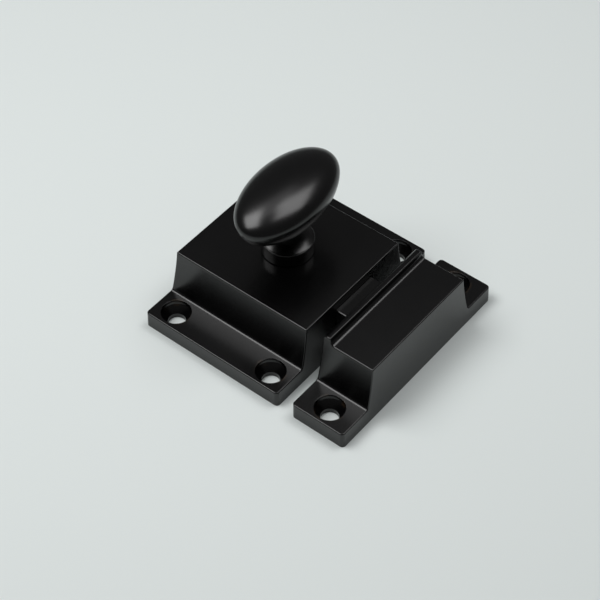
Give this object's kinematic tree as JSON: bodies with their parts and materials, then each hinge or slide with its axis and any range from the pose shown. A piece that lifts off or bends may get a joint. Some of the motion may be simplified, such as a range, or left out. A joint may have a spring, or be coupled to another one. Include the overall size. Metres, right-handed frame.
{
  "type": "cupboard catch latch",
  "caption": "Black cupboard catch: a cast latch case with an oval turn knob that draws back a sprung bolt, and a separate cast keeper with a raised lip.",
  "frame": {"origin": "on the knob's axis at the mounting plane, the flat back of the latch", "axes": "+X from the latch towards the keeper, the way the bolt springs out; +Y along the plates; +Z out of the cupboard, along the knob's axis"},
  "size_m": [0.0617, 0.06, 0.0404],
  "materials": {
    "black_casting": "satin black powder coat over die-cast zinc",
    "black_knob": "smooth satin black coat over die-cast zinc",
    "black_bolt": "satin black coat, rubbed by sliding",
    "spindle_steel": "turned steel",
    "plated_plate": "zinc-plated sheet steel",
    "plated_screws": "zinc-plated steel",
    "spring_wire": "drawn spring wire"
  },
  "bodies": {
    "case": {"latch_case": "black_casting", "back_plate": "plated_plate", "back_plate_screws": "plated_screws", "keeper": "black_casting", "bolt_spring": "spring_wire"},
    "knob": {"knob": "black_knob", "spindle": "spindle_steel", "cam": "spindle_steel", "cam_screw": "plated_screws"},
    "bolt": {"bolt": "black_bolt"}
  },
  "joints": [
    {"name": "knob_turn", "type": "hinge", "parent": "case", "child": "knob", "pos_m": [0, 0, 0], "axis": [0, 0, 1], "range_deg": [0, 61]},
    {"name": "bolt_slide", "type": "slide", "parent": "case", "child": "bolt", "axis": [1, 0, 0], "range_m": [-0.0062, 0], "stiffness_N_per_m": 400, "springref_m": 0.004, "deforming": ["bolt_spring"]}
  ],
  "couplings": [
    {"joint": "knob_turn", "follows": "bolt_slide", "rad_per_m": -168.9}
  ]
}
